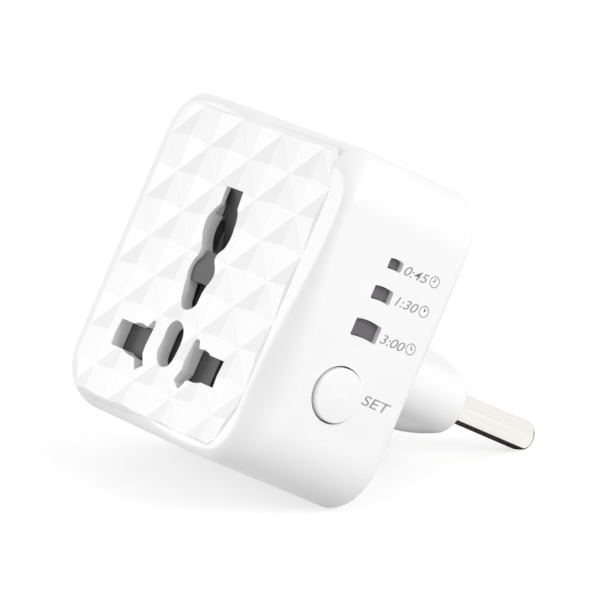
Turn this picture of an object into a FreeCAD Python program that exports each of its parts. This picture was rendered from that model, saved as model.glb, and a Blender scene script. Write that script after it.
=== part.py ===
import FreeCAD, Part
import math
import os
from FreeCAD import Placement, Rotation, Vector
from Sketcher import Constraint

# Plug-in countdown timer switch: a rounded case with a socket in its front face and a plug boss at its back.
# Millimetres. The origin is the centre of the plug's mating face, +Y points into the wall socket, +Z is up
# and +X is the side with the button and the three indicator windows.

doc = FreeCAD.newDocument("plug_in_timer")
sheet = doc.addObject("Spreadsheet::Sheet", "dims")

SIZES = [
    ("body_width", 55.0, "case, outside width"),
    ("body_height", 50.8, "case, outside height"),
    ("body_below", 21.5, "plug pin axis down to the flat bottom"),
    ("body_depth", 24.5, "case, front face between the pyramids to back face"),
    ("corner_radius", 8.5, "case outline seen from the front"),
    ("side_edge_radius", 5.1, "front edges at the two sides"),
    ("top_edge_radius", 1.8, "front edges at top and bottom"),
    ("rear_edge_radius", 1.5, "rear edge all round"),
    ("inner_edge_radius", 1.5, "edge between the inner face and the inner walls"),
    ("wall", 2.2, "side walls of the front shell"),
    ("face_wall", 2.1, "front face of the front shell"),
    ("cover_wall", 2.4, "rear cover plate"),
    ("cover_gap", 0.1, "rear cover to shell, all round"),
    ("relief_height", 0.4, "pyramid tip above the face"),
    ("relief_pitch_x", 11.18, "pyramid base, side to side"),
    ("relief_pitch_z", 10.6, "pyramid base, top to bottom"),
    ("relief_lift", 0.54, "middle of the pyramid pattern above the pin axis"),
    ("relief_lean_x", 0.3, "pyramid tip from the middle of its base, to the right"),
    ("relief_lean_z", 0.4, "pyramid tip from the middle of its base, upwards"),
    ("relief_margin", 0.1, "rim of the relief inside the flat part of the face"),
    ("relief_corner_margin", 0.9, "the same, more, half way round each corner"),
    ("cut_over", 1.0, "cutting forms beyond the surfaces they cut"),
    ("join_over", 0.5, "joined parts into each other"),
    ("boss_length", 17.5, "plug boss, back face to mating face"),
    ("boss_width", 35.2, "plug boss, across both pins"),
    ("boss_height", 13.9, "plug boss, top to bottom"),
    ("boss_end_radius", 5.0, "plug boss, end arcs"),
    ("boss_wall", 2.0, "plug boss side wall"),
    ("boss_end", 4.5, "plug boss end wall that holds the pins"),
    ("boss_edge_radius", 0.6, "edge of the mating face"),
    ("pin_diameter", 4.8, "plug pin"),
    ("pin_length", 19.5, "plug pin beyond the mating face"),
    ("pin_spacing", 19.0, "plug pin centres"),
    ("pin_tip_radius", 1.3, "rounding of the pin tip"),
    ("pin_groove_diameter", 4.2, "sealing groove round the pin, inside the end wall"),
    ("pin_groove_wide", 0.6, "width of the sealing groove"),
    ("pin_flange_diameter", 6.8, "flange behind the end wall"),
    ("pin_flange_thick", 1.4, "flange thickness"),
    ("pin_tail_diameter", 2.4, "solder tail"),
    ("pin_tail_proud", 1.4, "solder tail in front of the power board"),
    ("solder_ring_wide", 2.3, "solder cone at the board, radius"),
    ("solder_ring_high", 1.2, "solder cone off the board"),
    ("retainer_thick", 1.5, "clamp plate behind the flanges"),
    ("retainer_inset", 1.0, "clamp plate inside the boss wall"),
    ("retainer_post", 4.4, "screw post of the clamp plate, diameter"),
    ("retainer_screw", 2.0, "clamp screw diameter"),
    ("retainer_screw_end", 2.0, "end of the clamp screw behind the mating face"),
    ("retainer_pilot_end", 1.5, "end of its hole behind the mating face"),
    ("retainer_head", 4.0, "clamp screw head diameter"),
    ("retainer_head_high", 1.2, "clamp screw head height"),
    ("fit_gap", 0.05, "pins and screws in their holes"),
    ("slide_gap", 0.1, "sliding parts to their guides"),
    ("loose_gap", 0.2, "parts that only lie beside each other"),
    ("slot_drop", 9.5, "line and neutral slots below the pin axis"),
    ("slot_outer", 14.65, "outer end of each slot from the middle"),
    ("slot_inner", 5.6, "inner edge of each slot from the middle"),
    ("slot_high", 4.2, "height of the slot's square end"),
    ("ramp_skin", 0.6, "face left over the groove of the ramp"),
    ("ramp_width", 7.4, "earth pin ramp"),
    ("ramp_top", 17.0, "top of the ramp above the pin axis"),
    ("ramp_tall", 9.0, "ramp, top to bottom"),
    ("ramp_fall", 3.8, "ramp, front to back"),
    ("ramp_back", 1.5, "ramp's root behind its lower edge"),
    ("shutter_thick", 1.5, "shutter plate"),
    ("shutter_travel", 8.8, "upward travel that clears the slots"),
    ("shutter_step", 0.9, "depth of the step along each leaf"),
    ("shutter_step_wide", 4.5, "width of the stepped strip"),
    ("leaf_past_outer", 0.25, "leaf beyond the outer end of its slot"),
    ("leaf_past_inner", 0.9, "leaf beyond the inner end of its slot"),
    ("leaf_above", 4.1, "leaf above the slot's middle"),
    ("leaf_below", 4.6, "leaf below the slot's middle"),
    ("rail_gap", 0.7, "shutter rail beside the ramp"),
    ("rail_wide", 2.0, "shutter rail"),
    ("arm_tall", 5.0, "arm from the rail to the ramp"),
    ("spring_lug_wide", 2.6, "seat of the spring on the shutter"),
    ("spring_lug_deep", 3.2, "seat, front to back"),
    ("spring_lug_high", 1.0, "seat above the leaf"),
    ("spring_wire", 0.35, "shutter spring wire"),
    ("spring_radius", 1.15, "shutter spring, mean radius"),
    ("spring_turns", 14.0, "shutter spring turns"),
    ("spring_offset", 10.5, "shutter springs from the middle"),
    ("spring_depth", 1.8, "shutter springs behind the front of the shutter"),
    ("spring_top", 14.2, "upper seat of the springs above the pin axis"),
    ("carrier_depth", 14.1, "contact carrier, front to back"),
    ("carrier_half", 16.6, "contact carrier, half width"),
    ("carrier_wall", 1.2, "contact carrier walls"),
    ("chimney_half", 5.4, "earth chamber, half width outside"),
    ("chimney_floor", 0.7, "floor of the earth chamber"),
    ("chimney_top_gap", 0.6, "earth chamber under the inner top wall"),
    ("chimney_back_gap", 0.5, "earth chamber in front of the rear cover"),
    ("carrier_below", 1.5, "contact carrier below the leaves"),
    ("carrier_above", 5.9, "contact carrier above the slot's middle"),
    ("chamber_above", 4.3, "contact chamber above the slot's middle"),
    ("chamber_below", 4.7, "contact chamber below the slot's middle"),
    ("chamber_inner", 5.0, "contact chamber from the middle"),
    ("leaf_side_gap", 0.3, "leaf to its guide"),
    ("guide_top", 13.1, "guide above the slot's middle"),
    ("guide_web", 1.5, "web behind the guide"),
    ("pocket_floor", 2.0, "floor of the centre pocket"),
    ("wing_past", 2.5, "spring wing beyond the spring's middle"),
    ("wing_roof", 1.2, "spring wing above the spring"),
    ("ear_high", 2.0, "ears of the flap axle"),
    ("ear_deep", 1.6, "ears behind the front of the carrier"),
    ("lug_thick", 1.6, "screw lugs of the carrier"),
    ("lug_tall", 4.6, "screw lugs, top to bottom"),
    ("flap_recess", 0.5, "earth flap behind the face"),
    ("flap_thick", 0.7, "earth flap"),
    ("flap_arm_half", 1.6, "arm of the flap, half width"),
    ("flap_arm_above", 0.6, "arm above the axle"),
    ("flap_arm_below", 1.4, "arm below the axle"),
    ("flap_hub", 1.7, "hub of the flap, diameter"),
    ("pivot_in", 0.95, "flap axle behind the front of the carrier's guides"),
    ("flap_pivot_high", 6.3, "earth flap axle above the pin axis"),
    ("axle_diameter", 1.0, "earth flap axle"),
    ("axle_past", 0.4, "earth flap axle beyond the ramp's width"),
    ("press_gap", 0.01, "axle in its ears, solder on its tail"),
    ("running_gap", 0.06, "flap on its axle"),
    ("contact_thick", 0.5, "brass strip of the contacts"),
    ("contact_wide", 7.4, "contact clip width"),
    ("contact_inset", 2.1, "contact clip from the slot's inner edge"),
    ("contact_gap", 0.15, "contact clip to the chamber's back wall"),
    ("contact_mouth", 0.7, "contact clip behind the front of the carrier"),
    ("tab_wide", 3.0, "solder tab width"),
    ("tab_thick", 0.6, "solder tab, folded strip"),
    ("tab_proud", 0.4, "solder tab behind the power board"),
    ("board_thick", 1.6, "power board"),
    ("side_board_thick", 1.2, "indicator board"),
    ("board_standoff", 0.9, "power board in front of the rear cover"),
    ("board_edge_gap", 0.7, "boards to the case wall"),
    ("post_radius", 3.0, "case screw posts"),
    ("post_inset", 4.0, "case screw posts from the inner walls"),
    ("spigot_radius", 2.0, "pegs of the posts that reach through the power board"),
    ("pilot_extra", 2.5, "case screw holes deeper than the screws"),
    ("case_screw", 2.5, "case screw diameter"),
    ("case_screw_long", 10.0, "case screw shank"),
    ("case_head", 5.0, "case screw head diameter"),
    ("case_head_high", 1.3, "case screw head height"),
    ("recess_long", 2.8, "cross recess of the case screws"),
    ("recess_wide", 0.6, "cross recess of the case screws"),
    ("recess_deep", 0.7, "cross recess of the case screws"),
    ("lug_screw_x", 18.6, "lower carrier screws from the middle"),
    ("lug_screw_top_x", 9.2, "upper carrier screws from the middle"),
    ("lug_screw_top_z", 19.5, "upper carrier screws above the pin axis"),
    ("lug_boss_radius", 1.9, "bosses of the carrier screws"),
    ("lug_boss_high", 3.9, "bosses of the carrier screws off the inner face"),
    ("lug_pilot_floor", 0.4, "floor of the carrier screw holes"),
    ("lug_screw_floor", 0.7, "end of the carrier screws off the inner face"),
    ("lug_screw", 1.9, "carrier screw diameter"),
    ("lug_head_high", 1.2, "carrier screw head height"),
    ("lens_recess", 0.95, "window insert below the side face"),
    ("lens_gap", 0.1, "window insert in its window"),
    ("lens_flange", 1.0, "flange of the window insert, thickness"),
    ("lens_flange_past", 0.6, "flange beyond the window"),
    ("window_045_y", 29.58, "upper window, in front of the mating face"),
    ("window_045_z", 15.2, "upper window, above the pin axis"),
    ("window_045_wide", 2.55, "upper window"),
    ("window_045_tall", 1.62, "upper window"),
    ("window_130_y", 29.73, "middle window, in front of the mating face"),
    ("window_130_z", 10.45, "middle window, above the pin axis"),
    ("window_130_wide", 3.55, "middle window"),
    ("window_130_tall", 2.08, "middle window"),
    ("window_300_y", 29.88, "lower window, in front of the mating face"),
    ("window_300_z", 4.7, "lower window, above the pin axis"),
    ("window_300_wide", 4.85, "lower window"),
    ("window_300_tall", 2.7, "lower window"),
    ("window_arch", 0.055, "rise of the window's top and bottom as a part of its width"),
    ("window_corner", 0.25, "window corners"),
    ("button_y", 30.2, "button axis in front of the mating face"),
    ("button_drop", 5.5, "button axis below the pin axis"),
    ("button_diameter", 8.3, "button cap"),
    ("button_hole", 8.8, "hole for the button"),
    ("button_proud", 0.7, "rim of the button above the side face"),
    ("button_dome", 0.25, "middle of the button above its rim"),
    ("button_edge_radius", 0.35, "rim of the button"),
    ("button_flange", 10.8, "flange inside the case"),
    ("button_flange_thick", 0.8, "flange thickness"),
    ("button_stem", 2.4, "stem behind the button, diameter"),
    ("button_stem_long", 0.3, "stem behind the flange"),
    ("button_travel", 0.6, "button travel"),
    ("switch_square", 6.0, "push switch, side length"),
    ("switch_high", 1.1, "push switch body height"),
    ("switch_floor", 0.3, "floor of the push switch"),
    ("plunger_diameter", 2.2, "plunger of the push switch"),
    ("side_board_inset", 3.2, "indicator board behind the inner side wall"),
    ("side_board_front", 1.7, "indicator board behind the inner face"),
    ("side_board_back", 1.6, "indicator board in front of the power board"),
    ("side_board_above", 2.5, "indicator board above the ramp's top edge"),
    ("side_board_below", 6.0, "indicator board below the button axis"),
    ("header_deep", 2.5, "connector between the boards, square section"),
    ("header_long", 10.0, "connector, top to bottom"),
    ("header_low", -6.0, "connector's lower end above the pin axis"),
    ("chip_high", 1.5, "controller off its board"),
    ("chip_wide", 3.5, "controller, front to back"),
    ("chip_long", 9.0, "controller, top to bottom"),
    ("chip_low", 2.0, "controller's lower end above the pin axis"),
    ("chip_front", 2.4, "controller behind the inner face"),
    ("led_wide", 2.0, "indicator lamp base, front to back"),
    ("led_tall", 1.6, "indicator lamp base, top to bottom"),
    ("led_high", 0.8, "indicator lamp base height"),
    ("led_dome", 1.5, "indicator lamp dome, diameter"),
    ("led_gap", 0.3, "indicator lamp to the window insert"),
    ("relay_long", 18.0, "relay, up and down"),
    ("relay_wide", 10.2, "relay, side to side"),
    ("relay_high", 14.0, "relay, off the board"),
    ("relay_skin", 0.8, "relay cover wall"),
    ("relay_low", 1.0, "relay's lower end above the pin axis"),
    ("relay_edge", 0.5, "relay from the board's edge"),
    ("relay_base", 1.6, "relay base plate"),
    ("coil_radius", 3.0, "relay winding"),
    ("coil_flange_radius", 3.6, "end flanges of the winding"),
    ("coil_flange_thick", 0.8, "end flanges of the winding"),
    ("coil_off_base", 5.6, "coil axis in front of the relay base"),
    ("coil_low", 3.4, "coil above the relay's lower end"),
    ("coil_high", 5.2, "coil below the relay's upper end"),
    ("core_diameter", 2.5, "iron core of the coil"),
    ("core_proud", 0.5, "core above the coil"),
    ("yoke_half", 3.4, "yoke, half width"),
    ("yoke_thick", 1.2, "yoke and its foot"),
    ("yoke_low", 1.6, "yoke's foot above the relay's lower end"),
    ("yoke_above_core", 0.6, "yoke's end above the core"),
    ("armature_thick", 1.0, "hinged armature"),
    ("armature_gap", 0.1, "armature above the yoke's end"),
    ("armature_reach", 4.2, "armature in front of the coil axis"),
    ("leaf_half", 2.0, "contact leaf of the relay, half width"),
    ("leaf_thick", 0.4, "contact leaf of the relay"),
    ("leaf_off_coil", 4.6, "contact leaf in front of the coil axis"),
    ("leaf_below_top", 4.4, "contact leaf below the relay's upper end"),
    ("rivet_diameter", 2.4, "contact rivet"),
    ("rivet_proud", 0.8, "contact rivet in front of the leaf"),
    ("film_wide", 5.5, "film capacitor, side to side"),
    ("film_high", 11.0, "film capacitor off the board"),
    ("film_long", 12.0, "film capacitor, top to bottom"),
    ("film_low", 5.0, "film capacitor's lower end above the pin axis"),
    ("film_gap", 0.9, "film capacitor to the indicator board"),
    ("can_large_radius", 3.9, "large electrolytic can"),
    ("can_large_long", 11.0, "large electrolytic can off the board"),
    ("can_large_z", 8.2, "large electrolytic can above the pin axis"),
    ("can_small_radius", 2.5, "small electrolytic can"),
    ("can_small_long", 9.0, "small electrolytic can off the board"),
    ("can_small_z", 20.6, "small electrolytic can above the pin axis"),
    ("can_small_shift", 4.6, "small can beside the large one"),
    ("can_groove", 0.4, "rolled groove of the cans, section radius"),
    ("can_groove_high", 1.8, "rolled groove off the board"),
    ("bridge_wide", 5.0, "bridge rectifier, side to side"),
    ("bridge_high", 2.5, "bridge rectifier off the board"),
    ("bridge_long", 4.8, "bridge rectifier, top to bottom"),
    ("bridge_low", 14.0, "bridge rectifier's lower end above the pin axis"),
    ("bridge_gap", 1.0, "bridge rectifier to the earth chamber"),
    ("varistor_radius", 4.0, "varistor disc"),
    ("varistor_thick", 3.4, "varistor disc"),
    ("varistor_edge", 1.2, "varistor from the board's edge"),
    ("varistor_high", 5.2, "varistor's middle off the board"),
    ("varistor_above", 4.6, "varistor above the slot's middle"),
    ("varistor_foot_long", 4.4, "varistor's feet, top to bottom"),
    ("varistor_foot_thick", 1.0, "varistor's feet"),
    ("fuse_radius", 1.3, "thermal fuse tube"),
    ("fuse_long", 7.0, "thermal fuse tube"),
    ("fuse_above", 1.0, "thermal fuse above the slot's middle"),
    ("fuse_gap", 1.9, "thermal fuse axis beside the carrier"),
    ("fuse_high", 1.5, "thermal fuse axis off the board"),
    ("fuse_lead", 0.8, "leads of the thermal fuse"),
    ("resistor_radius", 1.1, "resistors"),
    ("resistor_long", 6.0, "resistors"),
    ("resistor_pitch", 9.0, "resistors, side to side"),
    ("resistor_drop", 1.7, "resistors below the carrier"),
]


class Size:
    """A length that knows both its number and its formula in the sheet."""

    def __init__(self, text, value):
        self.text = text
        self.value = value

    def combine(self, other, sign, value, swap=False):
        left, right = self.text, as_size(other).text
        if swap:
            left, right = right, left
        return Size(f"({left} {sign} {right})", value)

    def __float__(self):
        return self.value

    def __add__(self, other):
        return self.combine(other, "+", self.value + float(other))

    __radd__ = __add__

    def __sub__(self, other):
        return self.combine(other, "-", self.value - float(other))

    def __rsub__(self, other):
        return self.combine(other, "-", float(other) - self.value, swap=True)

    def __mul__(self, other):
        return self.combine(other, "*", self.value * float(other))

    __rmul__ = __mul__

    def __truediv__(self, other):
        return self.combine(other, "/", self.value / float(other))

    def __neg__(self):
        return Size(f"(0 - {self.text})", -self.value)


def as_size(number):
    return number if isinstance(number, Size) else Size(repr(float(number)), float(number))


class Sizes:
    """Every cell of the sheet as a Size, by its alias."""


S = Sizes()
for row, (alias, value, note) in enumerate(SIZES, start=1):
    sheet.set(f"A{row}", note)
    sheet.set(f"B{row}", str(value))
    sheet.setAlias(f"B{row}", alias)
    setattr(S, alias, Size(f"dims.{alias}", value))
doc.recompute()

# Helpers: bound primitives, booleans and code-made shapes

TURN = {"x": Rotation(Vector(0, 1, 0), 90), "y": Rotation(Vector(1, 0, 0), -90), "z": Rotation()}
nodes = []


def vec(x, y, z):
    return Vector(float(x), float(y), float(z))


def bind(thing, prop, size):
    thing.setExpression(prop, as_size(size).text)


def box(name, x, y, z):
    """A box from (low, high) along each axis."""
    made = doc.addObject("Part::Box", name)
    for axis, prop, (low, high) in zip("xyz", ("Length", "Width", "Height"), (x, y, z)):
        bind(made, f"Placement.Base.{axis}", low)
        bind(made, prop, as_size(high) - low)
    return made


def rod(name, axis, centre, radius, low, high):
    """A cylinder along an axis; centre gives its other two coordinates in X, Y, Z order."""
    made = doc.addObject("Part::Cylinder", name)
    made.Placement = Placement(Vector(), TURN[axis])
    others = [letter for letter in "xyz" if letter != axis]
    for letter, size in zip(others, centre):
        bind(made, f"Placement.Base.{letter}", size)
    bind(made, f"Placement.Base.{axis}", low)
    bind(made, "Height", as_size(high) - low)
    bind(made, "Radius", radius)
    return made


def fuse(name, *parts):
    made = doc.addObject("Part::MultiFuse", name)
    made.Shapes = list(parts)
    made.Refine = True
    return made


def cut(name, base, *tools):
    made = doc.addObject("Part::Cut", name)
    made.Base = base
    made.Tool = tools[0] if len(tools) == 1 else group(name + "_tools", *tools)
    return made


def group(name, *parts):
    made = doc.addObject("Part::Compound", name)
    made.Links = list(parts)
    return made


def shape(name, solid):
    """An object whose shape is set from Part's own functions."""
    made = doc.addObject("Part::Feature", name)
    made.Shape = solid
    return made


def mirrored(name, source):
    """The same piece on the other side of the middle plane."""
    made = doc.addObject("Part::Mirroring", name)
    made.Source = source
    made.Normal = Vector(1, 0, 0)
    made.Base = Vector(0, 0, 0)
    return made


def node(name, made):
    made.Label = name
    nodes.append(made)
    return made


def to_front(point):
    return vec(point[0], 0, point[1])


def to_side(point):
    return vec(0, point[0], point[1])


def outline(place, start, *steps):
    """A closed face. A step is a point for a straight edge, or (middle, end) for an arc."""
    edges = []
    here = start
    for step in list(steps) + [start]:
        if isinstance(step[0], tuple):
            middle, there = step
            edges.append(Part.Arc(place(here), place(middle), place(there)).toShape())
        else:
            there = step
            if (place(there) - place(here)).Length < 1e-6:
                continue
            edges.append(Part.makeLine(place(here), place(there)))
        here = there
    return Part.Face(Part.Wire(edges))


def front_prism(face, low, high):
    """A face drawn in X and Z, drawn out along Y."""
    made = face.extrude(vec(0, as_size(high) - low, 0))
    made.translate(vec(0, low, 0))
    return made


def side_prism(face, low, high):
    """A face drawn in Y and Z, drawn out along X."""
    made = face.extrude(vec(as_size(high) - low, 0, 0))
    made.translate(vec(low, 0, 0))
    return made


def edges_where(solid, test):
    return [edge for edge in solid.Edges if test(edge.BoundBox)]


# Main planes of the case

half = S.body_width / 2
inner_half = half - S.wall
bottom = -S.body_below
top = S.body_height - S.body_below
inner_bottom = bottom + S.wall
inner_top = top - S.wall
back = -S.boss_length
cover_in = back - S.cover_wall
front = back - S.body_depth
face_in = front + S.face_wall
tip_plane = front - S.relief_height
board_back = cover_in - S.board_standoff
board_front = board_back - S.board_thick
pin_x = S.pin_spacing / 2
slot_z = -S.slot_drop

# Outer form of the case: wide rounding on the side edges of the face that narrows round each corner


def flat_in_y(bounds, y):
    return abs(bounds.YMin - y) < 1e-4 and abs(bounds.YMax - y) < 1e-4


def rounded_block(x, y_low, y_high, z_low, z_high, corner):
    made = Part.makeBox(2 * float(x), float(y_high - y_low), float(z_high - z_low), vec(-x, y_low, z_low))
    upright = edges_where(made, lambda b: b.YLength > float(y_high - y_low) - 1e-4)
    return made.makeFillet(float(corner), upright)


def soften_edges(made, y):
    """Side edges take the wide radius, top and bottom the narrow one, the corner arcs run between them."""
    wide, narrow = float(S.side_edge_radius), float(S.top_edge_radius)
    loop = edges_where(made, lambda b: flat_in_y(b, float(y)))
    sides = [edge for edge in loop if edge.BoundBox.XLength < 1e-4]
    ends = [edge for edge in loop if edge.BoundBox.ZLength < 1e-4]
    arcs = [edge for edge in loop if edge.BoundBox.XLength > 1e-4 and edge.BoundBox.ZLength > 1e-4]
    triples = [(edge, wide, wide) for edge in sides] + [(edge, narrow, narrow) for edge in ends]
    for arc in arcs:
        first = arc.valueAt(arc.FirstParameter)
        starts_at_side = abs(abs(first.x) - float(half)) < 1e-4
        triples.append((arc, wide, narrow) if starts_at_side else (arc, narrow, wide))
    rear = float(S.rear_edge_radius)
    triples += [(edge, rear, rear) for edge in edges_where(made, lambda b: flat_in_y(b, float(back)))]
    source = shape("case_block", made)
    rounded = doc.addObject("Part::Fillet", "case_round")
    rounded.Base = source
    numbers = {edge.hashCode(): index for index, edge in enumerate(source.Shape.Edges, start=1)}
    rounded.Edges = [(numbers[edge.hashCode()], one, two) for edge, one, two in triples]
    doc.recompute()
    return rounded.Shape


def outer_form(y):
    return soften_edges(rounded_block(half, y, back, bottom, top, S.corner_radius), y)


def inner_form():
    made = rounded_block(inner_half, face_in, back + 1, inner_bottom, inner_top, S.corner_radius - S.wall)
    loop = edges_where(made, lambda b: flat_in_y(b, float(face_in)))
    return made.makeFillet(float(S.inner_edge_radius), loop)


def flat_zone():
    """Corners of the flat part of the face, seen from the front, with the rounded corners as short chords."""
    x_side = float(half - S.side_edge_radius - S.relief_margin)
    z_top = float(top - S.top_edge_radius - S.relief_margin)
    z_low = float(bottom + S.top_edge_radius + S.relief_margin)
    x_arc = float(half - S.corner_radius)
    found = []
    for across, z_side in ((1, z_top), (-1, z_top), (-1, z_low), (1, z_low)):
        z_arc = float(top - S.corner_radius) if z_side == z_top else float(bottom + S.corner_radius)
        corner = []
        for quarter in range(5):
            turn = math.radians(22.5 * quarter)
            inwards = float(S.relief_corner_margin) * math.sin(2 * turn)
            upright = math.copysign(1, z_side - z_arc)
            corner.append((across * (x_arc + (x_side - x_arc - inwards) * math.cos(turn)),
                           z_arc + (z_side - z_arc - upright * inwards) * math.sin(turn)))
        found += corner if across * (z_side - z_arc) > 0 else corner[::-1]
    return found


def relief_border():
    """A slab over the flat part of the face whose rim is bevelled inwards, towards the pyramid tips."""
    points = [Vector(x, float(front), z) for x, z in flat_zone()]
    reach = float(S.body_width)
    depth = float(S.relief_height + S.join_over + S.cut_over)
    slab = Part.makeBox(2 * reach, depth, 2 * reach, vec(-reach, tip_plane - S.cut_over, -reach))
    for here, there in zip(points, points[1:] + points[:1]):
        along = (there - here).normalize()
        outward = Vector(0, -1, 0).cross(along)
        if outward.dot(here) < 0:
            outward = -outward
        normal = (outward + Vector(0, -1, 0)).normalize()
        across = normal.cross(along)
        middle = (here + there) * 0.5
        signs = ((-1, -1), (1, -1), (1, 1), (-1, 1), (-1, -1))
        corners = [middle + along * (reach * one) + across * (reach * two) for one, two in signs]
        slab = slab.cut(Part.Face(Part.makePolygon(corners)).extrude(normal * reach))
    return slab


def pyramid(x, z):
    """One four-sided pyramid of the face, with a root that reaches into the face."""
    wide, tall = float(S.relief_pitch_x) / 2, float(S.relief_pitch_z) / 2
    base = [(x - wide, z), (x, z + tall), (x + wide, z), (x, z - tall)]
    high = [Vector(at[0], float(front), at[1]) for at in base]
    low = [Vector(at[0], float(front + S.join_over), at[1]) for at in base]
    tip = Vector(x + float(S.relief_lean_x), float(tip_plane), z + float(S.relief_lean_z))
    faces = [Part.Face(Part.makePolygon(low + low[:1]))]
    for index in range(4):
        after = (index + 1) % 4
        wall_loop = [low[index], low[after], high[after], high[index], low[index]]
        faces.append(Part.Face(Part.makePolygon(wall_loop)))
        faces.append(Part.Face(Part.makePolygon([high[index], high[after], tip, high[index]])))
    solid = Part.Solid(Part.Shell(faces))
    return solid if solid.Volume > 0 else solid.reversed()


def relief():
    """Rows of pyramids, every second row shifted by half a pyramid, ending at the rim of the flat part."""
    step_x, step_z = float(S.relief_pitch_x) / 2, float(S.relief_pitch_z) / 2
    columns = int(float(half) / step_x) + 1
    rows = int(float(S.body_height) / step_z) + 1
    border = relief_border()
    found = []
    for across in range(-columns, columns + 1):
        for up in range(-rows, rows + 1):
            if (across + up) % 2 == 1:
                made = pyramid(step_x * across, step_z * up + float(S.relief_lift)).common(border)
                found += made.Solids
    return found


# Socket slots in the front face, drawn for the right side and mirrored

slot_up = slot_z + S.slot_high / 2
slot_low = slot_z - S.slot_high / 2


def pole_slot():
    """Line slot: square end, round-pin swell, upper nub and slanted lower leg."""
    outer, inner = float(S.slot_outer), float(S.slot_inner)
    up, low, mid = float(slot_up), float(slot_low), float(slot_z)
    return outline(
        to_front, (outer, up), (outer, low), (inner + 5.7, low),
        ((inner + 4.1, low - 0.4), (inner + 2.4, low - 0.45)),
        ((inner + 1.8, low - 0.7), (inner + 1.5, low - 1.2)),
        (inner + 0.75, mid - 4.3), (inner - 1.1, mid - 3.25), (inner, mid - 1.5), (inner, mid + 3.0),
        ((inner + 0.7, mid + 3.65), (inner + 1.4, mid + 3.1)),
        (inner + 1.8, mid + 2.45), (inner + 2.3, mid + 2.4),
        ((inner + 3.9, mid + 2.55), (inner + 5.3, up)),
    )


def earth_slot():
    """Earth slot: flat top, wide upper swell, neck, lower swell and round end."""
    return outline(
        to_front, (-2.3, 16.9), (2.3, 16.9), (2.35, 14.1),
        ((3.9, 10.7), (2.6, 7.3)), ((2.25, 6.35), (2.55, 5.4)), ((3.35, 3.7), (2.8, 1.9)),
        (2.35, -0.3), ((0, -2.55), (-2.35, -0.3)), (-2.8, 1.9),
        ((-3.35, 3.7), (-2.55, 5.4)), ((-2.25, 6.35), (-2.6, 7.3)), ((-3.9, 10.7), (-2.35, 14.1)),
    )


def centre_slot(grow=0.0):
    """Upright oval between the two pole slots, larger by grow all round."""
    wide, high, low = 2.4 + float(grow), -4.45 + float(grow), -11.75 - float(grow)
    return outline(
        to_front, (wide, high - wide), (wide, low + wide),
        ((0, low), (-wide, low + wide)), (-wide, high - wide), ((0, high), (wide, high - wide)),
    )


line_slot = shape("line_slot", front_prism(pole_slot(), tip_plane - S.cut_over, face_in + S.cut_over))
neutral_slot = mirrored("neutral_slot", line_slot)
earth_hole = shape("earth_hole", front_prism(earth_slot(), tip_plane - S.cut_over, face_in + S.cut_over))
centre_hole = shape("centre_hole", front_prism(centre_slot(), tip_plane - S.cut_over, face_in + S.cut_over))

ramp_front = front + S.ramp_skin + S.slide_gap
groove_half = S.ramp_width / 2 + S.loose_gap
groove_top = S.ramp_top + S.shutter_travel + S.loose_gap
ramp_groove = box("ramp_groove", (-groove_half, groove_half), (front + S.ramp_skin, face_in + S.cut_over),
                  (S.ramp_top - S.ramp_tall / 2, groove_top))

# Indicator windows in the side wall: each with upright ends and a slightly arched top and bottom

WINDOWS = [
    (label, -getattr(S, f"window_{label}_y"), getattr(S, f"window_{label}_z"),
     getattr(S, f"window_{label}_wide"), getattr(S, f"window_{label}_tall"))
    for label in ("045", "130", "300")
]


def window_prism(y, z, wide, tall, shrink, x_low, x_high):
    """The window's form between two X positions, smaller by shrink all round."""
    left, right = y - wide / 2 + shrink, y + wide / 2 - shrink
    low, high = z - tall / 2 + shrink, z + tall / 2 - shrink
    rise = wide * S.window_arch
    made = side_prism(outline(
        to_side, (left, low), ((y, low + rise), (right, low)), (right, high), ((y, high + rise), (left, high))),
        x_low, x_high)
    long_edges = edges_where(made, lambda b: b.XLength > float(x_high) - float(x_low) - 1e-4)
    return made.makeFillet(float(S.window_corner), long_edges)


window_cuts = []
for label, y, z, wide, tall in WINDOWS:
    opening = window_prism(y, z, wide, tall, 0.0, inner_half - S.cut_over, half + S.cut_over)
    window_cuts.append(shape("window_" + label, opening))
button_z = -S.button_drop
button_cut = rod("button_hole", "x", (-S.button_y, button_z), S.button_hole / 2,
                 inner_half - S.cut_over, half + S.cut_over)

# Posts of the case screws and bosses of the carrier screws, inside the front shell

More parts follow.
